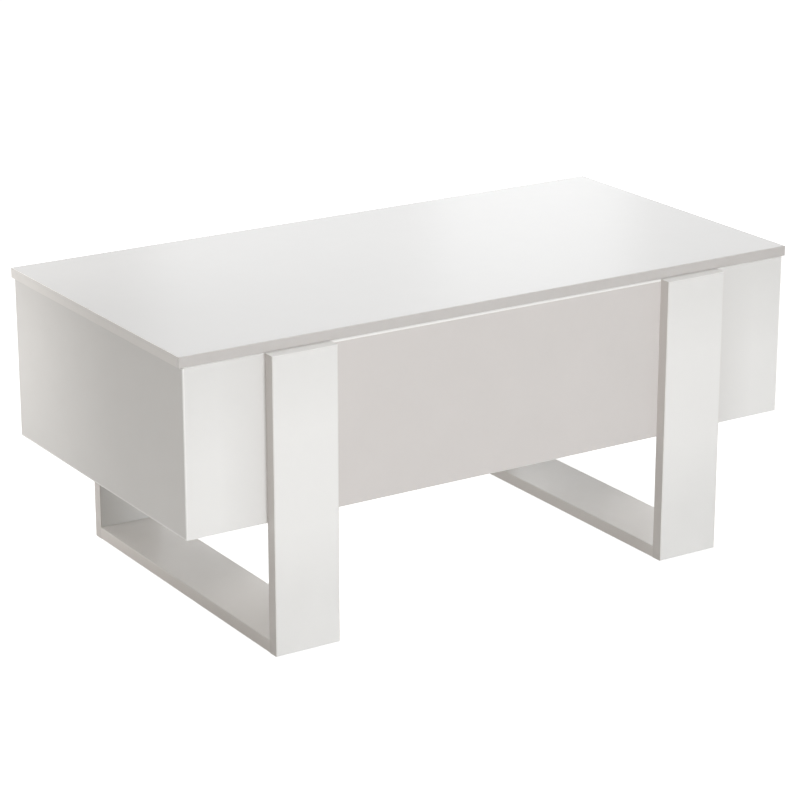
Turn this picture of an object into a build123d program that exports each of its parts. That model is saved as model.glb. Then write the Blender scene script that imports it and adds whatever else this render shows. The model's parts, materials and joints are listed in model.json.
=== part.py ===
from build123d import *
import os
from math import cos, radians, sin

# Lift top coffee table. Millimetres, +Z up, +X along the table's length, front towards -Y.
# The origin is on the floor under the middle of the closed table.

# ---- Driving dimensions -------------------------------------------------------------------

# Overall
table_length = 1000.0
top_depth = 500.0
table_height = 440.0

# Top board
top_thickness = 15.0
edging_thickness = 1.0
top_arris = 0.8                # radius on the outer edges of the edging

# Carcass
carcass_end_inset = 5.0        # the top overhangs each end by this much
carcass_height = 236.3
wall_thickness = 15.0
mitre_arris = 1.2              # flat on the outer corners of the mitred walls
wall_arris = 1.2               # radius on the upper and lower edges of the walls
bottom_thickness = 12.0
bottom_recess = 8.0            # the bottom panel lies this far above the walls' lower edge
groove_depth = 6.0
groove_clearance = 0.2

# Gap between the closed top and the carcass rim, where thin clear dots cushion the top
rim_gap = 0.7
bumper_thickness = 0.4
bumper_radius = 5.0
bumper_end_offset = 60.0

# Leg frames
leg_width = 100.0
leg_thickness = 18.0
leg_end_offset = 127.0         # end of the top to the near side of a leg
leg_arris = 1.0
foot_board_thickness = 18.0
glide_thickness = 1.5
glide_radius = 12.0
glide_inset = 28.0             # foot board's end to the middle of a glide
leg_fixing_distance = 60.0     # between glides, dowels or screws, across a leg

# Dowels between the uprights and the foot boards
dowel_radius = 4.0
dowel_length = 30.0
dowel_upright_depth = 12.0

# Screws that hold the leg frames to the carcass
leg_screw_inset = 48.0             # walls' lower and upper edges to the screws
leg_screw_radius = 3.0
leg_screw_head_radius = 6.5
leg_screw_head_height = 2.6
leg_screw_length = 27.0
insert_radius = 4.5
insert_length = 12.5
fixing_clearance = 0.05            # round every dowel, insert, rivet and screw in its hole
wall_hole_clearance = 0.4          # round the leg screws, where they pass the walls

# Battens in the four corners of the carcass
batten_width = 20.0
batten_end_gap = 22.0              # rim, and bottom panel, to the ends of a batten
batten_screw_inset = 32.0          # ends of a batten to its screws
batten_screw_stagger = 12.0        # between the screws into the two walls
batten_screw_radius = 2.0
batten_screw_head_radius = 4.0
batten_screw_length = 30.0

# Angle brackets between the dividers and the front and back walls
angle_leg = 25.0
angle_width = 20.0
angle_thickness = 2.0
angle_height = 60.0                # bottom panel to the middle of a bracket
angle_screw_offset = 15.0
angle_screw_radius = 1.75
angle_screw_head_radius = 3.5
angle_screw_head_height = 1.8
angle_screw_length = 8.5

# Lifting linkage, one set on the inner face of each divider
arm_length = 220.0                 # between pivots
arm_width = 25.0
arm_thickness = 4.0
arm_rest_angle = 10.0              # above the horizontal, pointing back
lift_angle = 105.0
arm_play = 0.2                     # sideways play at each moving face
front_pivot_setback = 60.0         # front wall's inner face to the front pivots
upper_pivot_drop = 35.0            # underside of the top to the upper front pivots
pivot_distance = 90.0              # front to rear pivots, along the depth
pivot_fall = 20.0                  # the rear pivots sit this much lower
pivot_radius = 4.0
pivot_clearance = 0.1
pivot_head_radius = 6.5
pivot_head_height = 2.0
washer_radius = 9.0
washer_thickness = 1.0

# Plates of the linkage
plate_thickness = 2.5
pivot_margin = 14.0                # pivot to the edge of a plate
screw_margin = 8.0                 # screw to the edge of a plate
base_screw_reach = 38.0            # pivot or stud to the screw near it
base_screw_radius = 2.0
base_screw_head_radius = 4.0
base_screw_length = 13.0
flange_width = 32.0
flange_end_margin = 26.0           # pivots to the ends of the flange
flange_corner_radius = 6.0
flange_screw_inset = 12.0          # end of the flange to its outer screws
flange_screw_count = 3
flange_screw_radius = 2.25
flange_screw_head_radius = 4.5
flange_screw_head_height = 2.4
flange_screw_length = 13.5

# Tube that ties the two front arms
tie_tube_radius = 10.0
tie_tube_wall = 1.5

# End stop of the raised top
stop_reach = 30.0                  # along the raised arm, from its pivot
stop_pin_radius = 3.0
stop_sleeve_radius = 5.0
stop_gap = 0.3
stop_overhang = 1.0                # past the arm's inner face

# Gas struts
strut_floor_gap = 24.0             # bottom panel to the struts' lower studs
strut_rest_angle = 75.0            # at the rear pivot, between the ends of a closed strut
strut_closed_gap = 6.0             # cylinder to the upper eye's shank, when closed
strut_offset = 20.0                # divider's face to the strut's centre line
cylinder_radius = 8.0
cylinder_wall = 1.2
gland_length = 5.0
rod_radius = 3.0
rod_clearance = 0.1                # rod in its gland, piston in its cylinder
piston_length = 5.0
piston_bottom_gap = 0.5
eye_radius = 8.0
eye_width = 8.0
eye_shank_radius = 4.0
eye_reach = 14.0                   # eye's centre to the cylinder or the rod
stud_radius = 3.0
stud_collar_radius = 5.0
stud_clip_radius = 5.5
stud_clip_thickness = 1.6

# Sockets in the screw heads, as shares of the head
socket_width_share = 0.45
socket_depth_share = 0.5

# ---- Derived sizes and places -------------------------------------------------------------

top_underside = table_height - top_thickness
rim_z = top_underside - rim_gap
carcass_underside = rim_z - carcass_height
outer_x = table_length / 2 - carcass_end_inset
outer_y = top_depth / 2
inner_x = outer_x - wall_thickness
inner_y = outer_y - wall_thickness
bottom_z = carcass_underside + bottom_recess
bottom_top_z = bottom_z + bottom_thickness

leg_x = table_length / 2 - leg_end_offset - leg_width / 2
leg_outer_y = outer_y + leg_thickness
foot_top_z = glide_thickness + foot_board_thickness
divider_face_x = leg_x - wall_thickness / 2
leg_fixing_x = (leg_x - leg_fixing_distance / 2, leg_x + leg_fixing_distance / 2)
glide_y = outer_y - glide_inset

cylinder_bore = cylinder_radius - cylinder_wall


def side_direction(angle):
    """A unit vector of the side view: depth and height, angles from the back upwards."""
    return Vector(cos(radians(angle)), sin(radians(angle)))


rest = side_direction(arm_rest_angle)
raised = side_direction(arm_rest_angle + lift_angle)
raised_normal = side_direction(arm_rest_angle + lift_angle + 90)

front_pivot_z = top_underside - upper_pivot_drop - arm_length * rest.Y
front_pivot = Vector(front_pivot_setback - inner_y, front_pivot_z)
rear_pivot = front_pivot + Vector(pivot_distance, -pivot_fall)
front_upper_pivot = front_pivot + rest * arm_length
rear_upper_pivot = rear_pivot + rest * arm_length
stop_normal_reach = arm_width / 2 + stop_gap + stop_sleeve_radius
stop_centre = front_pivot + raised * stop_reach + raised_normal * stop_normal_reach

# Both ends of a strut lie on one circle about the rear pivot, so the strut turns at half the
# rate of the arms. The circle is as large as the height of the carcass allows.
strut_lower_direction = side_direction(arm_rest_angle - strut_rest_angle)
strut_lower_drop = rear_pivot.Y - bottom_top_z - strut_floor_gap
strut_crank = -strut_lower_drop / strut_lower_direction.Y
strut_lower = rear_pivot + strut_lower_direction * strut_crank
strut_upper = rear_pivot + rest * strut_crank
strut_length = (strut_upper - strut_lower).length
strut_axis = (strut_upper - strut_lower).normalized()
cylinder_length = strut_length - 2 * eye_reach - strut_closed_gap

# Layers of the linkage, counted inwards from the face of its divider
washer_inner = plate_thickness + washer_thickness
arm_outer = washer_inner + arm_play
arm_inner = arm_outer + arm_thickness
upper_washer_outer = arm_inner + arm_play
web_outer = upper_washer_outer + washer_thickness
web_inner = web_outer + plate_thickness
eye_outer = strut_offset - eye_width / 2
eye_inner = strut_offset + eye_width / 2


# ---- Ways of making and saving shapes -----------------------------------------------------

CORNER = (Align.MIN, Align.MIN, Align.MIN)
BASE = (Align.CENTER, Align.CENTER, Align.MIN)


def board(x, y, z):
    """A board between two limits along each axis."""
    return Pos(x[0], y[0], z[0]) * Box(x[1] - x[0], y[1] - y[0], z[1] - z[0], align=CORNER)


def round_bar(start, end, radius):
    """A round bar from one point to another."""
    axis = Vector(end) - Vector(start)
    bar = Cylinder(radius, axis.length, align=BASE)
    return Plane(origin=start, z_dir=axis) * bar


def hex_socket(head_radius, depth):
    """The socket of a screw head, from its top face downwards."""
    hexagon = RegularPolygon(head_radius * socket_width_share, side_count=6)
    return extrude(hexagon, depth)


def pan_screw(point, axis, radius, head_radius, head_height, length):
    """A screw along an axis, its raised head standing on the surface at a point."""
    head = Pos(0, 0, -head_height) * Cylinder(head_radius, head_height, align=BASE)
    head = fillet(head.edges().sort_by(Axis.Z)[0], head_height / 2)
    socket = Pos(0, 0, -head_height) * hex_socket(head_radius, head_height * socket_depth_share)
    screw = head + Cylinder(radius, length, align=BASE) - socket
    return Plane(origin=point, z_dir=axis) * screw


def sunk_screw(point, axis, radius, head_radius, length, clearance=0.0):
    """A screw along an axis, its conical head flush at a point, or with clearance its hole."""
    sink = head_radius - radius
    cone = Cone(head_radius + clearance, radius + clearance, sink, align=BASE)
    screw = cone + Cylinder(radius + clearance, length + clearance, align=BASE)
    if clearance == 0:
        screw -= hex_socket(head_radius, sink * socket_depth_share)
    return Plane(origin=point, z_dir=axis) * screw


def plate(outline, outer, inner):
    """A side-view outline given thickness at the left divider, between two layers."""
    side = Plane(origin=(outer - divider_face_x, 0, 0), x_dir=(0, 1, 0), z_dir=(1, 0, 0))
    return extrude(side * outline, inner - outer)


def disc(centre, radius):
    """A disc of the side view."""
    return Pos(centre.X, centre.Y) * Circle(radius)


def at_left(layer, place):
    """A point of the left linkage, from its layer and its place in the side view."""
    return Vector(layer - divider_face_x, place.X, place.Y)


def mirrored(shapes, plane):
    """The shapes with their mirror images."""
    return shapes + [mirror(shape, about=plane) for shape in shapes]


def left_and_right(shapes):
    return mirrored(shapes, Plane.YZ)


def all_corners(shapes):
    return mirrored(left_and_right(shapes), Plane.XZ)


def save(name, shapes):
    """Write one node, as one solid or as a group of separate solids."""
    solids = [solid for shape in shapes for solid in shape.solids()]
    export_step(Compound(solids) if len(solids) > 1 else solids[0], f"parts/{name}.step")


def save_left_and_right(name, shape):
    """Write a piece of the left side, and its mirror image, as two nodes."""
    save(f"{name}_left", [shape])
    save(f"{name}_right", [mirror(shape, about=Plane.YZ)])


os.makedirs("parts", exist_ok=True)

# ---- Fixings of the boards ----------------------------------------------------------------

# Machine screws from inside the carcass into threaded inserts in the uprights.
leg_screw_heights = (carcass_underside + leg_screw_inset, rim_z - leg_screw_inset)
leg_screw_places = [(-x, z) for x in leg_fixing_x for z in leg_screw_heights]
leg_screws = []
leg_inserts = []
leg_insert_holes = []
leg_wall_holes = []
for x, z in leg_screw_places:
    inside = (x, -inner_y, z)
    joint = (x, -outer_y, z)
    insert_end = (x, -outer_y - insert_length, z)
    leg_screws.append(pan_screw(
        inside, (0, -1, 0),
        leg_screw_radius, leg_screw_head_radius, leg_screw_head_height, leg_screw_length))
    screw_bore = round_bar(joint, insert_end, leg_screw_radius + fixing_clearance)
    leg_inserts.append(round_bar(joint, insert_end, insert_radius) - screw_bore)
    leg_insert_holes.append(round_bar(joint, insert_end, insert_radius + fixing_clearance))
    leg_wall_holes.append(round_bar(inside, joint, leg_screw_radius + wall_hole_clearance))

# Dowels between the uprights and the foot boards.
frame_dowels = []
frame_dowel_holes = []
for x in leg_fixing_x:
    z = glide_thickness + foot_board_thickness / 2
    upright_end = (-x, -outer_y - dowel_upright_depth, z)
    foot_end = (-x, -outer_y - dowel_upright_depth + dowel_length, z)
    frame_dowels.append(round_bar(upright_end, foot_end, dowel_radius))
    frame_dowel_holes.append(round_bar(upright_end, foot_end, dowel_radius + fixing_clearance))

# Countersunk screws through the corner battens into the two walls beside them.
batten_top_z = rim_z - batten_end_gap
batten_bottom_z = bottom_top_z + batten_end_gap
batten_screw_sets = {"front": [], "end": []}
for z in (batten_top_z - batten_screw_inset, batten_bottom_z + batten_screw_inset):
    middle = batten_width / 2
    front_point = (middle - inner_x, batten_width - inner_y, z)
    end_point = (batten_width - inner_x, middle - inner_y, z - batten_screw_stagger)
    batten_screw_sets["front"].append((front_point, (0, -1, 0)))
    batten_screw_sets["end"].append((end_point, (-1, 0, 0)))


def batten_screw(place, clearance=0.0):
    point, axis = place
    return sunk_screw(
        point, axis, batten_screw_radius, batten_screw_head_radius, batten_screw_length, clearance)


batten_screw_places = batten_screw_sets["front"] + batten_screw_sets["end"]
batten_screws = [batten_screw(place) for place in batten_screw_places]
batten_screw_holes = [batten_screw(place, fixing_clearance) for place in batten_screw_places]

# Angle brackets in the corners between a divider and the front wall, and their screws.
angle_z = bottom_top_z + angle_height
angle_outline = Polygon(
    (0, 0), (angle_leg, 0), (angle_leg, angle_thickness), (angle_thickness, angle_thickness),
    (angle_thickness, angle_leg), (0, angle_leg), align=None)
angle_bracket = Pos(-divider_face_x, -inner_y, angle_z - angle_width / 2) * extrude(
    angle_outline, angle_width)
angle_wall_point = (angle_screw_offset - divider_face_x, angle_thickness - inner_y, angle_z)
angle_divider_point = (angle_thickness - divider_face_x, angle_screw_offset - inner_y, angle_z)
angle_screws = []
angle_screw_holes = []
for point, axis in ((angle_wall_point, (0, -1, 0)), (angle_divider_point, (-1, 0, 0))):
    angle_screws.append(pan_screw(
        point, axis,
        angle_screw_radius, angle_screw_head_radius, angle_screw_head_height, angle_screw_length))
    tip = Vector(point) + Vector(axis) * (angle_screw_length + fixing_clearance)
    angle_screw_holes.append(round_bar(point, tip, angle_screw_radius + fixing_clearance))
angle_bracket -= angle_screw_holes
divider_plane = Plane(origin=(-leg_x, 0, 0), z_dir=(1, 0, 0))

# ---- Carcass ------------------------------------------------------------------------------

bottom_groove = board(
    (-inner_x - groove_depth, inner_x + groove_depth),
    (-inner_y - groove_depth, inner_y + groove_depth),
    (bottom_z - groove_clearance, bottom_top_z + groove_clearance))


def wall(outline, outwards, holes):
    """A wall board from its plan outline, grooved for the bottom panel, its outer edges eased."""
    blank = Pos(0, 0, carcass_underside) * extrude(outline, carcass_height)
    outer_edges = blank.faces().sort_by(outwards)[-1].edges().filter_by(Plane.XY)
    return fillet(outer_edges, wall_arris) - bottom_groove - holes


# The walls meet in mitres whose sharp edges are eased.
arris = mitre_arris
forwards = -Axis.Y
front_side_outline = Polygon(
    (arris - outer_x, -outer_y), (-leg_x, -outer_y), (-leg_x, -inner_y), (-inner_x, -inner_y),
    (arris / 2 - outer_x, arris / 2 - outer_y), align=None)
end_outline = Polygon(
    (-outer_x, arris - outer_y), (arris / 2 - outer_x, arris / 2 - outer_y), (-inner_x, -inner_y),
    (-inner_x, inner_y), (arris / 2 - outer_x, outer_y - arris / 2), (-outer_x, outer_y - arris),
    align=None)
back_outline = Polygon(
    (arris - outer_x, outer_y), (arris / 2 - outer_x, outer_y - arris / 2), (-inner_x, inner_y),
    (inner_x, inner_y), (outer_x - arris / 2, outer_y - arris / 2), (outer_x - arris, outer_y),
    align=None)
fascia_outline = Polygon(
    (-leg_x, -outer_y), (leg_x, -outer_y), (leg_x, -inner_y), (-leg_x, -inner_y), align=None)

outer_angle_holes = [mirror(hole, about=divider_plane) for hole in angle_screw_holes]
outer_board_holes = [hole for hole, (x, z) in zip(leg_wall_holes, leg_screw_places) if x < -leg_x]
inner_board_holes = [hole for hole, (x, z) in zip(leg_wall_holes, leg_screw_places) if x > -leg_x]
front_batten_holes = [batten_screw(place, fixing_clearance) for place in batten_screw_sets["front"]]
end_batten_holes = [batten_screw(place, fixing_clearance) for place in batten_screw_sets["end"]]

front_side_holes = outer_board_holes + [outer_angle_holes[0]] + front_batten_holes
save_left_and_right("front_board", wall(front_side_outline, forwards, front_side_holes))
fascia_holes = left_and_right(inner_board_holes + [angle_screw_holes[0]])
save("front_fascia", [wall(fascia_outline, forwards, fascia_holes)])
end_panel = wall(end_outline, -Axis.X, mirrored(end_batten_holes, Plane.XZ))
save_left_and_right("end_panel", end_panel)
front_holes = left_and_right(front_side_holes + inner_board_holes + [angle_screw_holes[0]])
back_holes = [mirror(hole, about=Plane.XZ) for hole in front_holes]
save("back_panel", [wall(back_outline, Axis.Y, back_holes)])

bottom_reach = groove_depth - groove_clearance
save("bottom_panel", [board(
    (-inner_x - bottom_reach, inner_x + bottom_reach),
    (-inner_y - bottom_reach, inner_y + bottom_reach),
    (bottom_z, bottom_top_z))])

corner_batten = board(
    (-inner_x, batten_width - inner_x),
    (-inner_y, batten_width - inner_y),
    (batten_bottom_z, batten_top_z))
save("corner_battens", all_corners([corner_batten - batten_screw_holes]))
save("batten_screws", all_corners(batten_screws))

inner_and_outer = mirrored([angle_bracket], divider_plane)
save("angle_brackets", all_corners(inner_and_outer))
save("angle_screws", all_corners(mirrored(angle_screws, divider_plane)))

# ---- Leg frames ---------------------------------------------------------------------------

leg_span_x = (-leg_x - leg_width / 2, leg_width / 2 - leg_x)
front_upright = board(leg_span_x, (-leg_outer_y, -outer_y), (glide_thickness, rim_z))
front_upright = fillet(front_upright.faces().sort_by(Axis.Y)[0].edges(), leg_arris)
front_upright -= leg_insert_holes + frame_dowel_holes
save_left_and_right("front_upright", front_upright)
save_left_and_right("rear_upright", mirror(front_upright, about=Plane.XZ))

foot_board = board(leg_span_x, (-outer_y, outer_y), (glide_thickness, foot_top_z))
foot_board = fillet(foot_board.edges().filter_by(Axis.Y), leg_arris)
foot_board -= mirrored(frame_dowel_holes, Plane.XZ)
save_left_and_right("foot_board", foot_board)

save("leg_screws", all_corners(leg_screws))
save("leg_inserts", all_corners(leg_inserts))
save("frame_dowels", all_corners(frame_dowels))
glides = [round_bar((-x, -glide_y, 0), (-x, -glide_y, glide_thickness), glide_radius)
          for x in leg_fixing_x]
save("floor_glides", all_corners(glides))

bumper_places = [
    (-inner_x - wall_thickness / 2, bumper_end_offset - outer_y),
    (-leg_x, bumper_end_offset - outer_y)]
bumpers = [round_bar((x, y, rim_z), (x, y, rim_z + bumper_thickness), bumper_radius)
           for x, y in bumper_places]
save("rim_bumpers", all_corners(bumpers))

# ---- Lifting linkage: fixed side ----------------------------------------------------------

lower_pivots = (front_pivot, rear_pivot)
upper_pivots = (front_upper_pivot, rear_upper_pivot)
base_screw_bearings = (
    (front_pivot, 215), (front_pivot, 20), (rear_pivot, -40), (strut_lower, 165))
base_screw_centres = [
    place + side_direction(bearing) * base_screw_reach for place, bearing in base_screw_bearings]
base_screws = []
base_screw_holes = []
for centre in base_screw_centres:
    head = at_left(plate_thickness, centre)
    sizes = (base_screw_radius, base_screw_head_radius, base_screw_length)
    base_screws.append(sunk_screw(head, (-1, 0, 0), *sizes))
    base_screw_holes.append(sunk_screw(head, (-1, 0, 0), *sizes, fixing_clearance))

corners = [disc(centre, pivot_margin) for centre in (*lower_pivots, stop_centre, strut_lower)]
corners += [disc(centre, screw_margin) for centre in base_screw_centres]
base_outline = make_hull([edge for corner in corners for edge in corner.edges()])
base_outline -= [disc(pivot, pivot_radius + fixing_clearance) for pivot in lower_pivots]
base_outline -= disc(stop_centre, stop_pin_radius + fixing_clearance)
base_outline -= disc(strut_lower, stud_radius + fixing_clearance)
save_left_and_right("base_bracket", plate(base_outline, 0, plate_thickness) - base_screw_holes)
save("base_bracket_screws", left_and_right(base_screws))

divider = board(
    (-leg_x - wall_thickness / 2, wall_thickness / 2 - leg_x),
    (-inner_y, inner_y),
    (bottom_top_z, rim_z))
divider_angle_holes = mirrored(mirrored([angle_screw_holes[1]], divider_plane), Plane.XZ)
save_left_and_right("divider", divider - base_screw_holes - divider_angle_holes)

washer = Circle(washer_radius) - Circle(pivot_radius + pivot_clearance)
lower_washers = [plate(Pos(pivot.X, pivot.Y) * washer, plate_thickness, washer_inner)
                 for pivot in lower_pivots]
save("lower_pivot_washers", left_and_right(lower_washers))

lower_pins = []
for pivot in lower_pivots:
    shank_end = arm_inner + arm_play
    shank = plate(disc(pivot, pivot_radius), 0, shank_end)
    head = plate(disc(pivot, pivot_head_radius), shank_end, shank_end + pivot_head_height)
    lower_pins.append(shank + head)
save("lower_pivot_pins", left_and_right(lower_pins))

stop_end = arm_inner + stop_overhang
stop_pin = plate(disc(stop_centre, stop_pin_radius), 0, stop_end)
stop_sleeve = disc(stop_centre, stop_sleeve_radius)
stop_sleeve -= disc(stop_centre, stop_pin_radius + fixing_clearance)
save("stop_pins", left_and_right([stop_pin]))
save("stop_sleeves", left_and_right([plate(stop_sleeve, plate_thickness, stop_end)]))

# ---- Lifting linkage: arms ----------------------------------------------------------------


def arm(lower, upper):
    """A flat steel arm with round ends, between its two pivots."""
    middle = (lower + upper) / 2
    bar = SlotCenterToCenter(arm_length, arm_width, rotation=arm_rest_angle)
    outline = Pos(middle.X, middle.Y) * bar
    outline -= [disc(pivot, pivot_radius + pivot_clearance) for pivot in (lower, upper)]
    return outline


rear_arm_outline = arm(rear_pivot, rear_upper_pivot)
rear_arm_outline -= disc(strut_upper, stud_radius + fixing_clearance)
front_arm_outline = arm(front_pivot, front_upper_pivot)
save_left_and_right("front_arm", plate(front_arm_outline, arm_outer, arm_inner))
save_left_and_right("rear_arm", plate(rear_arm_outline, arm_outer, arm_inner))

tie_end = at_left(arm_inner, front_pivot)
tie_ends = (tie_end, (-tie_end.X, tie_end.Y, tie_end.Z))
tie_tube = round_bar(*tie_ends, tie_tube_radius)
tie_tube -= round_bar(*tie_ends, tie_tube_radius - tie_tube_wall)
save("tie_tube", [tie_tube])

# ---- Lifting linkage: brackets under the top ----------------------------------------------

flange_y = (front_upper_pivot.X - flange_end_margin, rear_upper_pivot.X + flange_end_margin)
flange_z = (top_underside - plate_thickness, top_underside)
web_top = Polygon(
    (flange_y[0], flange_z[0]), (flange_y[1], flange_z[0]),
    (flange_y[1], flange_z[1]), (flange_y[0], flange_z[1]), align=None)
web_edges = list(web_top.edges())
for pivot in upper_pivots:
    web_edges += disc(pivot, pivot_margin).edges()
web_outline = make_hull(web_edges)
web_outline -= [disc(pivot, pivot_radius + fixing_clearance) for pivot in upper_pivots]

flange_x = (web_outer - divider_face_x, web_outer + flange_width - divider_face_x)
flange = board(flange_x, flange_y, flange_z)
free_corners = flange.edges().filter_by(Axis.Z).group_by(Axis.X)[-1]
flange = fillet(free_corners, flange_corner_radius)
flange_screw_x = web_inner + (flange_width - plate_thickness) / 2 - divider_face_x
first_screw_y = flange_y[0] + flange_screw_inset
last_screw_y = flange_y[1] - flange_screw_inset
flange_screws = []
flange_screw_holes = []
for index in range(flange_screw_count):
    y = first_screw_y + (last_screw_y - first_screw_y) * index / (flange_screw_count - 1)
    start = Vector(flange_screw_x, y, flange_z[0])
    flange_screws.append(pan_screw(
        start, (0, 0, 1),
        flange_screw_radius, flange_screw_head_radius, flange_screw_head_height,
        flange_screw_length))
    tip = start + Vector(0, 0, flange_screw_length + fixing_clearance)
    flange_screw_holes.append(round_bar(start, tip, flange_screw_radius + fixing_clearance))
top_bracket = plate(web_outline, web_outer, web_inner) + flange - flange_screw_holes
save_left_and_right("top_bracket", top_bracket)
save("top_bracket_screws", left_and_right(flange_screws))

upper_washers = [plate(Pos(pivot.X, pivot.Y) * washer, upper_washer_outer, web_outer)
                 for pivot in upper_pivots]
save("upper_pivot_washers", left_and_right(upper_washers))

upper_pins = []
for pivot in upper_pivots:
    shank = plate(disc(pivot, pivot_radius), arm_outer - arm_play, web_inner)
    for start in (arm_outer - arm_play - pivot_head_height, web_inner):
        shank += plate(disc(pivot, pivot_head_radius), start, start + pivot_head_height)
    upper_pins.append(shank)
save("upper_pivot_pins", left_and_right(upper_pins))

# ---- Gas struts ---------------------------------------------------------------------------


def stud(place, start, collar_start):
    """A riveted stud with a collar, an eye's seat and a retaining clip."""
    collar_end = eye_outer - arm_play
    clip_start = eye_inner + arm_play
    body = plate(disc(place, stud_radius), start, clip_start)
    body += plate(disc(place, stud_collar_radius), collar_start, collar_end)
    body += plate(disc(place, stud_clip_radius), clip_start, clip_start + stud_clip_thickness)
    return body


def eye(place, axis):
    """An eye on its stud, with the shank that joins it to the strut."""
    ring = plate(disc(place, eye_radius), eye_outer, eye_inner)
    bore = plate(disc(place, stud_radius + pivot_clearance), eye_outer, eye_inner)
    shank_start = at_left(strut_offset, place + axis * stud_collar_radius)
    shank_end = at_left(strut_offset, place + axis * eye_reach)
    return ring + round_bar(shank_start, shank_end, eye_shank_radius) - bore


def on_strut(distance):
    """A point of the closed strut's centre line, from its lower eye."""
    return at_left(strut_offset, strut_lower + strut_axis * distance)


save("strut_lower_studs", left_and_right([stud(strut_lower, 0, plate_thickness)]))
save("strut_upper_studs", left_and_right([stud(strut_upper, arm_outer, arm_inner)]))
save("strut_lower_eyes", left_and_right([eye(strut_lower, strut_axis)]))
save("strut_upper_eyes", left_and_right([eye(strut_upper, -strut_axis)]))

cylinder_start = eye_reach
cylinder_end = cylinder_start + cylinder_length
bore_start = cylinder_start + cylinder_wall
gland_start = cylinder_end - gland_length
cylinder = round_bar(on_strut(cylinder_start), on_strut(cylinder_end), cylinder_radius)
cylinder -= round_bar(on_strut(bore_start), on_strut(cylinder_end), cylinder_bore)
save_left_and_right("strut_cylinder", cylinder)

gland_ends = (on_strut(gland_start), on_strut(cylinder_end))
gland = round_bar(*gland_ends, cylinder_bore - fixing_clearance)
gland -= round_bar(*gland_ends, rod_radius + rod_clearance)
save("strut_glands", left_and_right([gland]))

piston_start = bore_start + piston_bottom_gap
rod_end = strut_length - eye_reach
rod = round_bar(on_strut(piston_start), on_strut(rod_end), rod_radius)
piston_ends = (on_strut(piston_start), on_strut(piston_start + piston_length))
rod += round_bar(*piston_ends, cylinder_bore - rod_clearance)
save_left_and_right("strut_rod", rod)

# ---- Top board ----------------------------------------------------------------------------

half_length = table_length / 2
core_x = half_length - edging_thickness
core_y = outer_y - edging_thickness
top_z = (top_underside, table_height)
blank = board((-half_length, half_length), (-outer_y, outer_y), top_z)
blank = fillet(blank.edges(), top_arris)
core = blank & board((-core_x, core_x), (-core_y, core_y), top_z)
save("top_board", [core - left_and_right(flange_screw_holes)])
long_edging = blank & board((-half_length, half_length), (-outer_y, -core_y), top_z)
end_edging = blank & board((-half_length, -core_x), (-core_y, core_y), top_z)
save("top_long_edging", mirrored([long_edging], Plane.XZ))
save("top_end_edging", left_and_right([end_edging]))

print("raised height", round(table_height + arm_length * (raised.Y - rest.Y), 1))
print("forward travel", round(arm_length * (rest.X - raised.X), 1))
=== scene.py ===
import json
import math

import bmesh
import bpy
from mathutils import Matrix, Vector


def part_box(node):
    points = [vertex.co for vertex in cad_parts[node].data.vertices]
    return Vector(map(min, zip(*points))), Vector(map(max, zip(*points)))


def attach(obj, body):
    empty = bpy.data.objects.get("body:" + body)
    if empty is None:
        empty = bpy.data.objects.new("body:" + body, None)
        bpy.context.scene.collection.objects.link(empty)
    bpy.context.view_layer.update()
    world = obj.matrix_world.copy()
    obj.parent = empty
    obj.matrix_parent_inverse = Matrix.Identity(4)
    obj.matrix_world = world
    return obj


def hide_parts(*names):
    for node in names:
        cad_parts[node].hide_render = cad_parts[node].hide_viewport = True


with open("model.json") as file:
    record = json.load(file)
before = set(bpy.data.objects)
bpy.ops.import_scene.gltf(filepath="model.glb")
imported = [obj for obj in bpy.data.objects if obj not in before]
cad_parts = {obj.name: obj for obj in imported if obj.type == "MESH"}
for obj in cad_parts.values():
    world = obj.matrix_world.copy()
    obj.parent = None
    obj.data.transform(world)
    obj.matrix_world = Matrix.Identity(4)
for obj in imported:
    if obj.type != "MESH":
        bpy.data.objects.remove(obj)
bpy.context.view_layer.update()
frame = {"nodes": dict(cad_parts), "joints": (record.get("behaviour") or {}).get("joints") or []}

nodes = frame["nodes"]

# ---- Back and end panels --------------------------------------------------------------------
# Particle board wrapped in a satin white foil, which shows the faint waviness of the board, a
# fine orange peel from the press and an uneven sheen, and a white line along the lower edge is
# a painted highlight.


def new_material(name):
    """A material, its node tree and its Principled shader."""
    material = bpy.data.materials.new(name)
    material.use_nodes = True
    tree = material.node_tree
    return material, tree, tree.nodes["Principled BSDF"]


def new_group(name, inputs, outputs):
    """A shader group with named values in and out, and its two end nodes."""
    group = bpy.data.node_groups.new(name, "ShaderNodeTree")
    for label, default in inputs.items():
        socket = group.interface.new_socket(label, in_out="INPUT", socket_type="NodeSocketFloat")
        socket.default_value = default
    for label in outputs:
        group.interface.new_socket(label, in_out="OUTPUT", socket_type="NodeSocketFloat")
    return group, group.nodes.new("NodeGroupInput"), group.nodes.new("NodeGroupOutput")


def object_coordinates(tree, stretch=(1, 1, 1)):
    """Object coordinates, stretched along the axes."""
    place = tree.nodes.new("ShaderNodeTexCoord")
    mapping = tree.nodes.new("ShaderNodeMapping")
    mapping.inputs["Scale"].default_value = stretch
    tree.links.new(place.outputs["Object"], mapping.inputs["Vector"])
    return mapping.outputs["Vector"]


def noise(tree, vector, scale, detail=2.0, roughness=0.5):
    """A noise texture; scale is a number or an output to read it from."""
    texture = tree.nodes.new("ShaderNodeTexNoise")
    texture.inputs["Detail"].default_value = detail
    texture.inputs["Roughness"].default_value = roughness
    tree.links.new(vector, texture.inputs["Vector"])
    if isinstance(scale, (int, float)):
        texture.inputs["Scale"].default_value = scale
    else:
        tree.links.new(scale, texture.inputs["Scale"])
    return texture.outputs["Fac"]


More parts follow.
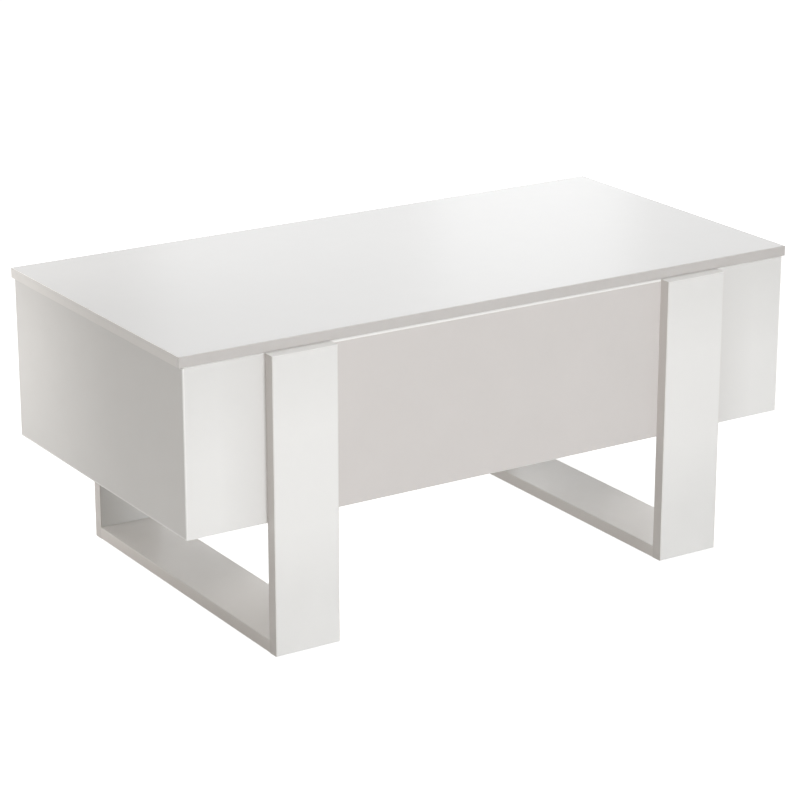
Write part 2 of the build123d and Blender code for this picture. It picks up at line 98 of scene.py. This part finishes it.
def math_node(tree, operation, first, second):
    """One step of arithmetic between outputs or numbers."""
    step = tree.nodes.new("ShaderNodeMath")
    step.operation = operation
    for socket, value in zip(step.inputs, (first, second)):
        if isinstance(value, (int, float)):
            socket.default_value = value
        else:
            tree.links.new(value, socket)
    return step.outputs["Value"]


def spread(tree, value, low, high, from_low=0.3, from_high=0.7):
    """A mask spread over a range of values."""
    step = tree.nodes.new("ShaderNodeMapRange")
    step.inputs["From Min"].default_value = from_low
    step.inputs["From Max"].default_value = from_high
    step.inputs["To Min"].default_value = low
    step.inputs["To Max"].default_value = high
    tree.links.new(value, step.inputs["Value"])
    return step.outputs["Result"]


def between(tree, factor, first, second):
    """A colour mixed by a mask between two, each given as numbers or as an output."""
    mix = tree.nodes.new("ShaderNodeMix")
    mix.data_type = "RGBA"
    colour_inputs = [socket for socket in mix.inputs if socket.type == "RGBA"]
    for socket, colour in zip(colour_inputs, (first, second)):
        if isinstance(colour, tuple):
            socket.default_value = (*colour, 1)
        else:
            tree.links.new(colour, socket)
    tree.links.new(factor, mix.inputs["Factor"])
    return next(socket for socket in mix.outputs if socket.type == "RGBA")


def add_bump(tree, shader, height, strength, distance):
    """Relief from a height, in metres at full strength."""
    bump = tree.nodes.new("ShaderNodeBump")
    bump.inputs["Strength"].default_value = strength
    bump.inputs["Distance"].default_value = distance
    tree.links.new(height, bump.inputs["Height"])
    tree.links.new(bump.outputs["Normal"], shader.inputs["Normal"])


def facing(tree):
    """How far a surface faces along X, Y and Z, each from 0 to 1."""
    place = tree.nodes.new("ShaderNodeTexCoord")
    size = tree.nodes.new("ShaderNodeVectorMath")
    size.operation = "ABSOLUTE"
    tree.links.new(place.outputs["Normal"], size.inputs[0])
    parts = tree.nodes.new("ShaderNodeSeparateXYZ")
    tree.links.new(size.outputs["Vector"], parts.inputs["Vector"])
    return [parts.outputs[axis] for axis in "XYZ"]


pressed_film, film_in, film_out = new_group(
    "pressed_film", {"Peel Scale": 900.0, "Wave Scale": 14.0},
    ("Height", "Sheen", "Tone", "Arris", "Side", "End"))
film_place = object_coordinates(pressed_film)
wave_height = 2.5
arris_range = (0.90, 0.995)
arris_wear = (0.6, 1.0)
band_range = (0.70, 0.75)
peel = noise(pressed_film, film_place, film_in.outputs["Peel Scale"])
wave = noise(pressed_film, film_place, film_in.outputs["Wave Scale"], detail=3.0)
rubbed = noise(pressed_film, film_place, 55.0, detail=6.0, roughness=0.65)
waves = math_node(pressed_film, "MULTIPLY", wave, wave_height)
film_height = math_node(pressed_film, "ADD", peel, waves)
facing_x, facing_y, facing_z = facing(pressed_film)
squarely = math_node(
    pressed_film, "MAXIMUM", facing_x, math_node(pressed_film, "MAXIMUM", facing_y, facing_z))
pressed_film.links.new(film_height, film_out.inputs["Height"])
pressed_film.links.new(rubbed, film_out.inputs["Sheen"])
pressed_film.links.new(wave, film_out.inputs["Tone"])
arris_mask = spread(pressed_film, squarely, 1, 0, *arris_range)
side_mask = spread(pressed_film, facing_x, 0, 1, *band_range)
end_mask = spread(pressed_film, facing_z, 0, 1, *band_range)
pressed_film.links.new(arris_mask, film_out.inputs["Arris"])
pressed_film.links.new(side_mask, film_out.inputs["Side"])
pressed_film.links.new(end_mask, film_out.inputs["End"])


def film_material(name, colour, other_colour, sheen, relief=0.00002, scales=(900.0, 14.0),
                  arris=None, side=None, end=None, tints=()):
    """A foil or coat on a board: two close colours, a range of roughness and a fine relief.
    Each tint is an axis, the distances from zero at which it starts and is full, and its
    colour. Other colours may cover the faces to the left and right and the upper and lower ends,
    and the foil may have another colour along each arris, broken up like rubbing; where it is
    paler it is partly wear and partly a painted highlight."""
    material, tree, shader = new_material(name)
    film = tree.nodes.new("ShaderNodeGroup")
    film.node_tree = pressed_film
    film.inputs["Peel Scale"].default_value = scales[0]
    film.inputs["Wave Scale"].default_value = scales[1]
    tone = spread(tree, film.outputs["Tone"], 0, 1)
    shade = between(tree, tone, colour, other_colour)
    for axis, start, full, tint in tints:
        parts = tree.nodes.new("ShaderNodeSeparateXYZ")
        tree.links.new(object_coordinates(tree), parts.inputs["Vector"])
        reach = math_node(tree, "ABSOLUTE", parts.outputs[axis], 0)
        shade = between(tree, spread(tree, reach, 0, 1, start, full), shade, tint)
    if side:
        shade = between(tree, film.outputs["Side"], shade, side)
    if end:
        shade = between(tree, film.outputs["End"], shade, end)
    # A paler arris colour, broken up by rubbing, is partly wear and partly a painted highlight.
    if arris:
        worn = spread(tree, film.outputs["Sheen"], *arris_wear)
        shade = between(
            tree, math_node(tree, "MULTIPLY", film.outputs["Arris"], worn), shade, arris)
    tree.links.new(shade, shader.inputs["Base Color"])
    roughness = spread(tree, film.outputs["Sheen"], *sheen)
    tree.links.new(roughness, shader.inputs["Roughness"])
    add_bump(tree, shader, film.outputs["Height"], 1.0, relief)
    return material


def finish_nodes(material, names):
    """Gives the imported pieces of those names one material."""
    for name in names:
        mesh = nodes[name].data
        mesh.materials.clear()
        mesh.materials.append(material)


def sides(name):
    return [name + "_left", name + "_right"]


foil_sheen = (0.30, 0.40)
# Pale arris colour: partly rubbed wear, partly a painted highlight along the edges.
arris_wear_and_highlight = (0.90, 0.90, 0.89)
highlight_white = (0.97, 0.97, 0.96)
highlight_width = 0.0025
sharp = 0.0001
wall_low, wall_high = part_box("back_panel")
lower_highlight_line = wall_low[2] + highlight_width
# The tint paints a white line along the lower edge as a highlight.
white_foil = film_material(
    "white_foil", (0.825, 0.824, 0.813), (0.810, 0.809, 0.798), sheen=foil_sheen,
    arris=arris_wear_and_highlight, tints=[("Z", lower_highlight_line + sharp, lower_highlight_line, highlight_white)])
finish_nodes(white_foil, ["back_panel", *sides("end_panel")])

# ---- Front boards ---------------------------------------------------------------------------
# A white board stands outside each leg. Its foil is painted darker under the top and beside the
# leg as shade and lighter lower down as light, and a white line painted down the corner is a
# painted highlight.

# Painted light and shade: the board is painted lighter lower down and darker towards the top.
lower_lit_white = (0.883, 0.883, 0.873)
upper_shade_height = wall_high[2] - 0.0093
lower_lit_height = wall_high[2] - 0.1343
leg_low, leg_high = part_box("front_upright_right")
# Painted shade: the board darkens towards the leg, as if shaded by it.
leg_shade_grey = (0.772, 0.768, 0.757)
leg_shade_edge = leg_high[0] + 0.072
# A white line painted down the outer corner is a painted highlight.
corner_highlight_line = wall_high[0] - 0.0018
corner_foil = film_material(
    "corner_foil", (0.815, 0.815, 0.805), (0.797, 0.797, 0.787), sheen=foil_sheen,
    arris=arris_wear_and_highlight,
    tints=[("Z", upper_shade_height, lower_lit_height, lower_lit_white),
           ("X", leg_shade_edge, leg_high[0], leg_shade_grey),
           ("X", corner_highlight_line - sharp, corner_highlight_line, highlight_white)])
finish_nodes(corner_foil, sides("front_board"))

# ---- Top board ------------------------------------------------------------------------------
# One flat board in a white foil of its own, pressed between polished plates, so that it is
# smoother than the walls and shines more.

top_foil = film_material(
    "top_foil", (0.838, 0.842, 0.845), (0.831, 0.835, 0.838), sheen=(0.245, 0.268),
    relief=0.000006, arris=arris_wear_and_highlight)
finish_nodes(top_foil, ["top_board"])

# ---- Leg frames -----------------------------------------------------------------------------
# Uprights and foot boards in white foil. Their narrow sides are painted greige as shade, with
# greige hairlines painted along the face's edges as shade lines. The uprights are painted
# lighter at half height as a sheen and near white on their ends as light.

# Painted shade: narrow sides painted greige, darker than the face, and a greige hairline just
# inside each edge.
side_shade_greige = (0.700, 0.670, 0.645)
band_width = 0.0012
inner_line = leg_low[0] + band_width
outer_line = leg_high[0] - band_width
edge_shade_lines = [
    ("X", inner_line, inner_line - sharp, side_shade_greige),
    ("X", outer_line, outer_line + sharp, side_shade_greige)]
# Painted sheen: lighter at half height, darker towards the top.
painted_sheen_middle = [
    ("Z", 0.080, 0.180, (0.888, 0.888, 0.878)),
    ("Z", 0.315, 0.400, (0.838, 0.838, 0.828))]
# The ends are painted near white as light on the upper ends, which the top shades.
upright_foil = film_material(
    "upright_foil", (0.835, 0.835, 0.825), (0.817, 0.817, 0.807), sheen=foil_sheen,
    arris=arris_wear_and_highlight, side=side_shade_greige, end=(0.96, 0.96, 0.95), tints=painted_sheen_middle + edge_shade_lines)
finish_nodes(upright_foil, [*sides("front_upright"), *sides("rear_upright")])
# Painted shade: a warmer copy of the upright foil for the shade under the box, sides darker
# still.
foot_foil = film_material(
    "foot_foil", (0.845, 0.828, 0.811), (0.825, 0.808, 0.793), sheen=foil_sheen,
    arris=arris_wear_and_highlight, side=(0.780, 0.748, 0.720), tints=edge_shade_lines)
finish_nodes(foot_foil, sides("foot_board"))

# ---- Greige front ---------------------------------------------------------------------------
# The front between the legs is a board of its own in a warm light grey foil, with a white line
# painted along its upper edge as a highlight.

# The tint paints a white line along the upper edge as a highlight.
highlight_edge = wall_high[2] - 0.0028
greige_foil = film_material(
    "greige_foil", (0.690, 0.663, 0.648), (0.675, 0.649, 0.634), sheen=(0.36, 0.46),
    arris=arris_wear_and_highlight, tints=[("Z", highlight_edge - sharp, highlight_edge, (0.96, 0.955, 0.945))])
finish_nodes(greige_foil, ["front_fascia"])

# ---- Edging of the top ----------------------------------------------------------------------
# Plastic strip glued round the top and rounded over, greige along the front and the back. The
# end strips are painted off white as light, and the rounded edges of the greige strip are
# painted paler, partly as wear and partly as a highlight.

# Its paler arris colour is partly wear and partly a painted highlight.
edge_strip = film_material(
    "edge_strip", (0.597, 0.578, 0.564), (0.582, 0.563, 0.549), sheen=(0.34, 0.48),
    relief=0.00003, scales=(1500.0, 60.0), arris=(0.71, 0.695, 0.682))
finish_nodes(edge_strip, ["top_long_edging"])
# Painted light: the end strips are painted off white, lighter than the greige front and back
# strips.
lit_end_strip = film_material(
    "lit_end_strip", (0.950, 0.940, 0.925), (0.935, 0.925, 0.910), sheen=(0.34, 0.48),
    relief=0.00003, scales=(1500.0, 60.0))
finish_nodes(lit_end_strip, ["top_end_edging"])

# ---- Rim strips -----------------------------------------------------------------------------
# A white plastic strip with a rounded back is glued along the upper edge of the front wall and
# of the back wall, and closes the gap below the top to a hair.


def link_mesh(name, mesh, material, body):
    """A finished mesh as a smooth shaded piece of a body, with its material and slot."""
    piece_data = bpy.data.meshes.new(name)
    mesh.to_mesh(piece_data)
    mesh.free()
    piece_data.shade_smooth()
    piece_data.set_sharp_from_angle(angle=math.radians(40))
    piece_data.materials.append(material)
    piece = bpy.data.objects.new(name, piece_data)
    bpy.context.scene.collection.objects.link(piece)
    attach(piece, body)
    return piece


strip_white = film_material(
    "strip_white", (0.90, 0.90, 0.89), (0.88, 0.88, 0.87), sheen=(0.40, 0.55),
    scales=(1800.0, 90.0))
strip_width = 0.003
strip_clearance = 0.0001
strip_setback = 0.0004
strip_end = 0.0015
quarter_turn = math.radians(90)
back_steps = 4
rim = wall_high[2]
strip_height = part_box("top_board")[0][2] - rim - strip_clearance
strip_length = wall_high[0] - wall_low[0] - 2 * strip_end
for wall, y, inwards in (("front", -wall_high[1], 1), ("back", wall_high[1], -1)):
    strip = bmesh.new()
    profile = [(0, 0), (0, strip_height)]
    for step in range(back_steps + 1):
        turn = quarter_turn * step / back_steps
        profile.append((
            strip_width - strip_height + strip_height * math.sin(turn),
            strip_height * math.cos(turn)))
    ring = [
        strip.verts.new((wall_low[0] + strip_end, y + inwards * (strip_setback + depth), rim + z))
        for depth, z in profile]
    cap = strip.faces.new(ring)
    swept = bmesh.ops.extrude_face_region(strip, geom=[cap])
    moved = [item for item in swept["geom"] if isinstance(item, bmesh.types.BMVert)]
    bmesh.ops.translate(strip, vec=(strip_length, 0, 0), verts=moved)
    bmesh.ops.recalc_face_normals(strip, faces=strip.faces)
    link_mesh(f"rim_strip_{wall}", strip, strip_white, "carcass")

# ---- Melamine inside the box ----------------------------------------------------------------
# The bottom and the dividers are plain melamine board with a fine pearl texture.

inner_melamine = film_material(
    "inner_melamine", (0.80, 0.80, 0.78), (0.77, 0.77, 0.75), sheen=(0.42, 0.58),
    relief=0.00004, scales=(1400.0, 40.0))
finish_nodes(inner_melamine, ["bottom_panel", *sides("divider")])

# ---- Powder coat on the linkage -------------------------------------------------------------
# Brackets, arms and the tie tube are steel with a fine black powder coat.

powder_coat = film_material(
    "powder_coat", (0.020, 0.020, 0.021), (0.026, 0.026, 0.027), sheen=(0.38, 0.52),
    relief=0.00006, scales=(2600.0, 120.0), arris=(0.050, 0.050, 0.051))
finish_nodes(powder_coat, [
    *sides("base_bracket"), *sides("front_arm"), *sides("rear_arm"), *sides("top_bracket"),
    "tie_tube"])

# ---- Metal small parts ----------------------------------------------------------------------
# Screws, pins, studs, eyes and angle brackets are zinc plated steel, the rods are ground and
# chromed, and the inserts are turned brass.


def metal_material(name, colour, other_colour, sheen, scale):
    """Bare or plated metal, clouded in colour and sheen, with fine turning marks."""
    material, tree, shader = new_material(name)
    shader.inputs["Metallic"].default_value = 1.0
    place = object_coordinates(tree)
    cloud = noise(tree, place, scale, detail=4.0, roughness=0.6)
    tone = spread(tree, cloud, 0, 1)
    tree.links.new(between(tree, tone, colour, other_colour), shader.inputs["Base Color"])
    tree.links.new(spread(tree, cloud, *sheen), shader.inputs["Roughness"])
    stretched = object_coordinates(tree, stretch=(1, 6, 1))
    marks = noise(tree, stretched, scale * 8, detail=3.0)
    add_bump(tree, shader, marks, 1.0, 0.00002)
    return material


zinc = metal_material("zinc", (0.60, 0.61, 0.62), (0.50, 0.52, 0.55), (0.24, 0.40), 260.0)
finish_nodes(zinc, [
    "angle_brackets", "angle_screws", "batten_screws", "leg_screws", "base_bracket_screws",
    "top_bracket_screws", "lower_pivot_pins", "upper_pivot_pins", "stop_pins",
    "strut_lower_studs", "strut_upper_studs", "strut_lower_eyes", "strut_upper_eyes"])
chrome = metal_material("chrome", (0.76, 0.76, 0.77), (0.72, 0.72, 0.74), (0.05, 0.12), 180.0)
finish_nodes(chrome, sides("strut_rod"))
brass = metal_material("brass", (0.56, 0.39, 0.14), (0.48, 0.33, 0.12), (0.28, 0.42), 400.0)
finish_nodes(brass, ["leg_inserts"])

# ---- Welds on the tie tube ------------------------------------------------------------------
# The tube is welded to the inner faces of the two front arms. The beads are painted over with
# the same coat, and their ripples show through it.

bead_leg = 0.0030
bead_steps = 5
bead_ripple = 0.14
bead_ripples = 26
merge_distance = 0.000001
around_bead = 6 * bead_ripples
tube_low, tube_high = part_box("tie_tube")
tube_radius = (tube_high[2] - tube_low[2]) / 2
tube_y = (tube_low[1] + tube_high[1]) / 2
tube_z = (tube_low[2] + tube_high[2]) / 2
for side, arm_face, inwards in (("left", tube_low[0], 1), ("right", tube_high[0], -1)):
    bead = bmesh.new()
    root = Vector((arm_face, tube_y, tube_z))
    section = []
    for step in range(bead_steps + 1):
        slope = quarter_turn * step / bead_steps
        inward = inwards * bead_leg * math.cos(slope)
        outward = tube_radius + bead_leg * math.sin(slope)
        section.append(bead.verts.new(root + Vector((inward, outward, 0))))
    edges = [bead.edges.new(pair) for pair in zip(section, section[1:] + section[:1])]
    bmesh.ops.spin(
        bead, geom=section + edges, cent=root, axis=(1, 0, 0), angle=2 * math.pi,
        steps=around_bead, use_merge=True, use_duplicate=False)
    bmesh.ops.remove_doubles(bead, verts=bead.verts, dist=merge_distance)
    for vertex in bead.verts:
        spoke = vertex.co - root
        angle = math.atan2(spoke.z, spoke.y)
        ripple = 1 - bead_ripple * abs(math.sin(bead_ripples * angle / 2))
        foot = Vector((0, tube_radius * math.cos(angle), tube_radius * math.sin(angle)))
        vertex.co = root + foot + (spoke - foot) * ripple
    bmesh.ops.recalc_face_normals(bead, faces=bead.faces)
    link_mesh(f"tie_tube_weld_{side}", bead, powder_coat, "front_arms")

# ---- Gas strut cylinders --------------------------------------------------------------------
# Seamless tubes in gloss black paint. The closed end is pressed round, and the open end is
# rolled in over its gland, with a groove rolled in behind it.

gloss_black = film_material(
    "gloss_black", (0.012, 0.012, 0.013), (0.015, 0.015, 0.016), sheen=(0.14, 0.24),
    relief=0.00001, scales=(700.0, 30.0))


def turned(profile, start, axis, around=48):
    """A turned shape, from (distance along the axis, radius) pairs, from a point outwards."""
    shape = bmesh.new()
    line = [shape.verts.new((radius, 0, distance)) for distance, radius in profile]
    edges = [shape.edges.new(pair) for pair in zip(line, line[1:])]
    bmesh.ops.spin(
        shape, geom=line + edges, cent=(0, 0, 0), axis=(0, 0, 1), angle=2 * math.pi,
        steps=around, use_merge=True, use_duplicate=False)
    bmesh.ops.remove_doubles(shape, verts=shape.verts, dist=merge_distance)
    bmesh.ops.recalc_face_normals(shape, faces=shape.faces)
    upright = Vector((0, 0, 1)).rotation_difference(axis).to_matrix().to_4x4()
    bmesh.ops.transform(shape, matrix=Matrix.Translation(start) @ upright, verts=shape.verts)
    return shape


joint_places = {joint["name"]: Vector(joint["pos_m"]) for joint in frame["joints"]}
strut_low = joint_places["strut_cylinder_swing"]
strut_axis = (joint_places["strut_rod_swing"] - strut_low).normalized()
strut_lean = math.sqrt(1 - strut_axis.z ** 2)
eye_reach = 0.014
strut_radius = 0.008
strut_wall = 0.0012
shoulder = 0.0022
shoulder_steps = 6
groove_depth = 0.0005
groove_from_end = 0.0075
groove_width = 0.0024
groove_steps = 6
lip_steps = 5
for name in sides("strut_cylinder"):
    low, high = (Vector(corner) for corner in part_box(name))
    middle_x = (low.x + high.x) / 2
    rise = (high.z - low.z - 2 * strut_radius * strut_lean) / strut_axis.z
    outline = [(0, 0), (0, strut_radius - shoulder)]
    for step in range(1, shoulder_steps + 1):
        turn = quarter_turn * step / shoulder_steps
        outline.append((
            shoulder * (1 - math.cos(turn)), strut_radius - shoulder * (1 - math.sin(turn))))
    for step in range(groove_steps + 1):
        along = groove_width * step / groove_steps
        dip = groove_depth * math.sin(math.pi * step / groove_steps)
        outline.append((rise - groove_from_end + along, strut_radius - dip))
    for step in range(lip_steps + 1):
        turn = quarter_turn * step / lip_steps
        outline.append((
            rise - strut_wall * (1 - math.sin(turn)),
            strut_radius - strut_wall * (1 - math.cos(turn))))
    outline += [(strut_wall, strut_radius - strut_wall), (strut_wall, 0)]
    start = Vector((middle_x, strut_low.y, strut_low.z)) + strut_axis * eye_reach
    cylinder = link_mesh(
        f"painted_{name}", turned(outline, start, strut_axis), gloss_black,
        "strut_cylinders")
    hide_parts(name)

# ---- Riveted heads of the pivots ------------------------------------------------------------
# The pivot pins are riveted over, so a low dome with the tool's centre mark stands on each head
# that faces the middle of the table.

dome_radius = 0.0062
dome_height = 0.0010
dome_sweep = math.radians(78)
dome_steps = 6
mark_radius = 0.0013
mark_depth = 0.0005
dome = [
    (dome_height * math.sin(turn), dome_radius * math.cos(turn))
    for turn in (dome_sweep * step / dome_steps for step in range(dome_steps + 1))]
dome += [(dome_height, mark_radius), (dome_height - mark_depth, mark_radius / 2)]
dome += [(dome_height - mark_depth, 0)]
front_lower = joint_places["lift"]
rear_lower = joint_places["rear_arm_swing"]
front_upper = joint_places["top_level"]
rear_upper = front_upper + rear_lower - front_lower
pivots = [
    ("lower_rear", "lower_pivot_pins", rear_lower, "carcass"),
    ("upper_front", "upper_pivot_pins", front_upper, "lift_top"),
    ("upper_rear", "upper_pivot_pins", rear_upper, "lift_top")]
for label, pins, place, body in pivots:
    head_face = min(abs(vertex.co.x) for vertex in nodes[pins].data.vertices)
    for side, outwards in (("left", -1), ("right", 1)):
        start = Vector((outwards * head_face, place.y, place.z))
        head = turned(dome, start, Vector((-outwards, 0, 0)))
        link_mesh(f"rivet_{label}_{side}", head, zinc, body)

# ---- Beech ----------------------------------------------------------------------------------
# The corner battens and the dowels are planed beech: a pale even wood with fine dark flecks
# along the grain.


def beech_material(name, grain):
    """Beech with its grain along one axis, given as a stretch of the pattern."""
    material, tree, shader = new_material(name)
    place = object_coordinates(tree, grain)
    figure = noise(tree, place, 60.0, detail=5.0, roughness=0.6)
    fleck = noise(tree, place, 420.0, detail=2.0)
    tone = math_node(
        tree, "ADD", spread(tree, figure, 0, 0.7), spread(tree, fleck, 0, 0.5, 0.58, 0.68))
    tree.links.new(
        between(tree, tone, (0.58, 0.40, 0.235), (0.40, 0.245, 0.125)),
        shader.inputs["Base Color"])
    tree.links.new(spread(tree, figure, 0.48, 0.62), shader.inputs["Roughness"])
    add_bump(tree, shader, fleck, 1.0, 0.0001)
    return material


finish_nodes(beech_material("beech_upright", (1, 1, 0.06)), ["corner_battens"])
finish_nodes(beech_material("beech_dowel", (1, 0.06, 1)), ["frame_dowels"])

# ---- Nylon, rubber, silicone and felt -------------------------------------------------------
# Washers and glands are natural nylon, the stops have black rubber sleeves, the rim has clear
# silicone bumpers, and the feet stand on pressed felt.


def soft_material(name, colour, other_colour, sheen, scale, relief):
    """A moulded or pressed soft material with a fine grain."""
    material, tree, shader = new_material(name)
    grain = noise(tree, object_coordinates(tree), scale, detail=4.0, roughness=0.6)
    tone = spread(tree, grain, 0, 1)
    tree.links.new(between(tree, tone, colour, other_colour), shader.inputs["Base Color"])
    tree.links.new(spread(tree, grain, *sheen), shader.inputs["Roughness"])
    add_bump(tree, shader, grain, 1.0, relief)
    return material, shader


nylon, nylon_shader = soft_material(
    "nylon", (0.66, 0.64, 0.56), (0.60, 0.58, 0.50), (0.40, 0.55), 500.0, 0.00003)
nylon_shader.inputs["Subsurface Weight"].default_value = 0.15
finish_nodes(nylon, ["lower_pivot_washers", "upper_pivot_washers", "strut_glands"])
rubber, rubber_shader = soft_material(
    "rubber", (0.018, 0.018, 0.018), (0.026, 0.025, 0.024), (0.55, 0.75), 900.0, 0.00005)
finish_nodes(rubber, ["stop_sleeves"])
silicone, silicone_shader = soft_material(
    "silicone", (0.86, 0.87, 0.87), (0.82, 0.83, 0.83), (0.20, 0.35), 300.0, 0.00002)
silicone_shader.inputs["Transmission Weight"].default_value = 0.3
silicone_shader.inputs["IOR"].default_value = 1.41
finish_nodes(silicone, ["rim_bumpers"])
felt, felt_shader = soft_material(
    "felt", (0.50, 0.47, 0.43), (0.40, 0.37, 0.34), (0.85, 0.98), 1800.0, 0.0004)
finish_nodes(felt, ["floor_glides"])

# ---- Floor and surround ---------------------------------------------------------------------
# A plain white floor that keeps a faint shadow, and a white surround that metal and gloss
# mirror, while the light it gives is dim and a little warm.


def seen_directly(tree):
    """1 for what the camera sees, straight, mirrored or through glass, and 0 for light."""
    path = tree.nodes.new("ShaderNodeLightPath")
    rays = (path.outputs["Is Camera Ray"], path.outputs["Is Glossy Ray"])
    seen = math_node(tree, "MAXIMUM", *rays)
    return math_node(tree, "MAXIMUM", seen, path.outputs["Is Transmission Ray"])


bpy.ops.mesh.primitive_plane_add(size=30)
floor = bpy.context.object
floor.name = "studio_floor"
floor_glow = 0.85
floor_material, floor_tree, floor_shader = new_material("studio_floor")
floor_shader.inputs["Base Color"].default_value = (0.80, 0.80, 0.80, 1)
floor_shader.inputs["Roughness"].default_value = 0.9
floor_shader.inputs["Specular IOR Level"].default_value = 0.0
floor_shader.inputs["Emission Color"].default_value = (1, 1, 1, 1)
floor_tree.links.new(
    math_node(floor_tree, "MULTIPLY", seen_directly(floor_tree), floor_glow),
    floor_shader.inputs["Emission Strength"])
floor.data.materials.append(floor_material)

ambient = (0.250, 0.230, 0.207)
surround = bpy.data.worlds.new("studio")
bpy.context.scene.world = surround
surround.use_nodes = True
world_tree = surround.node_tree
world_tree.links.new(
    between(world_tree, seen_directly(world_tree), ambient, (1.0, 1.0, 1.0)),
    world_tree.nodes["Background"].inputs["Color"])

# ---- Soft lamps -----------------------------------------------------------------------------
# Six large square lamps. Three of them aren't mirrored, so that they leave no white patch in
# the top from low down or from behind, and the two far ones lay a soft sheen on it.


def hang_lamp(name, kind, place, aim, power, colour):
    """A lamp at a place, turned to face a point, that doesn't show in the picture itself."""
    lamp = bpy.data.objects.new(name, bpy.data.lights.new(name, kind))
    bpy.context.scene.collection.objects.link(lamp)
    lamp.location = place
    direction = Vector(aim) - Vector(place)
    lamp.rotation_euler = direction.to_track_quat("-Z", "Y").to_euler()
    lamp.data.energy = power
    lamp.data.color = colour
    lamp.visible_camera = False
    return lamp.data


table_middle = (0, 0, 0.3)
top_middle = (0.2, 0.1, 0.44)
warm_white = (1.0, 0.98, 0.96)
cool_white = (0.95, 0.975, 1.0)
# For each: place, aim, side, power and colour.
soft_lamps = {
    "front_left": ((-1.6, -3.2, 1.8), table_middle, 1.5, 20.9, warm_white),
    "overhead": ((0, 0, 3.0), table_middle, 2.0, 26.4, cool_white),
    "low_front": ((0, -3.0, 0.3), table_middle, 0.5, 30.2, cool_white),
    "behind": ((-0.5, 3.2, 1.5), table_middle, 2.0, 36.4, warm_white),
    "far_right": ((1.5, 2.4, 1.17), top_middle, 1.2, 2.8, cool_white),
    "top_sheen": ((2.35, 2.5, 1.0), top_middle, 1.1, 2.3, cool_white)}
for name, (place, aim, side, power, colour) in soft_lamps.items():
    soft_lamp = hang_lamp(name, "AREA", place, aim, power, colour)
    soft_lamp.shape = "SQUARE"
    soft_lamp.size = side
for name in ("front_left", "low_front", "behind"):
    bpy.data.objects[name].visible_glossy = False

# ---- Narrow lamps ---------------------------------------------------------------------------
# One brightens the far half of the left end panel, and two low down under the box fill the
# fronts of the foot boards.

# For each: place, aim, angle of the cone in degrees, radius and power.
narrow_lamps = {
    "left_end": ((-1.7, 0.5, 1.0), (-0.495, 0.30, 0.32), 20, 0.2, 45),
    "under_left": ((0.02, 0.05, 0.165), (-0.323, -0.17, 0.02), 44, 0.05, 4.2),
    "under_right": ((0.62, 0.05, 0.155), (0.323, -0.18, 0.02), 38, 0.05, 2.4)}
for name, (place, aim, cone, radius, power) in narrow_lamps.items():
    narrow_lamp = hang_lamp(name, "SPOT", place, aim, power, warm_white)
    narrow_lamp.spot_size = math.radians(cone)
    narrow_lamp.spot_blend = 1.0
    narrow_lamp.shadow_soft_size = radius

# ---- Camera ---------------------------------------------------------------------------------
# A long lens from the table's front left, a little above it.

looking_down = math.radians(18.49)
turned_right = math.radians(32.53)
camera_data = bpy.data.cameras.new("camera")
camera_data.sensor_width = 36.0
camera_data.lens = 126.72
camera_data.clip_end = 60.0
camera = bpy.data.objects.new("camera", camera_data)
bpy.context.scene.collection.objects.link(camera)
camera.location = (-2.1002, -3.2839, 1.5263)
camera.rotation_euler = (math.radians(90) - looking_down, 0, -turned_right)
bpy.context.scene.camera = camera
bpy.context.scene.view_settings.view_transform = "Standard"
